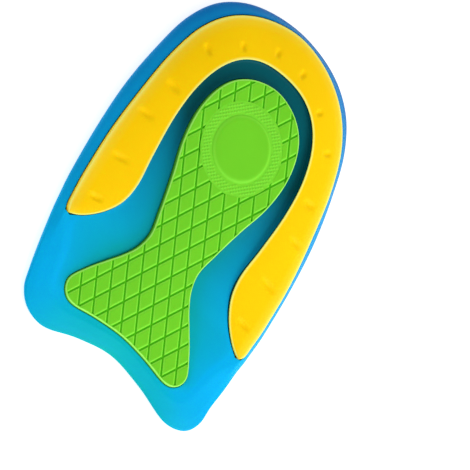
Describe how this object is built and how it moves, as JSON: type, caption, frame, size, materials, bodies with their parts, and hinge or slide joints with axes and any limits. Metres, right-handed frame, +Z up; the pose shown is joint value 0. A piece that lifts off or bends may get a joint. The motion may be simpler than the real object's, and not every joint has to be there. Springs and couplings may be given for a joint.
{
  "type": "silicone heel insert",
  "caption": "Soft gel heel insert with a shallow hollow for the heel, a U-shaped pad round the heel and a grooved fishtail pad along the middle of its sole side.",
  "frame": {"origin": "middle of the insert's box on the surface that its rim lies on", "axes": "+X across the foot, +Y towards the heel, +Z up out of the sole side, which lies upwards"},
  "size_m": [0.0718, 0.1084, 0.0098],
  "materials": {
    "blue_gel": "soft blue silicone gel, satin, slightly see-through at thin edges",
    "yellow_gel": "yellow silicone, satin, smooth with small moulded notches",
    "green_gel": "lime green silicone, satin, with moulded diamond grooves"
  },
  "bodies": {
    "root": {"gel_cup": "blue_gel", "heel_horseshoe": "yellow_gel", "fishtail_pad": "green_gel"}
  },
  "joints": []
}
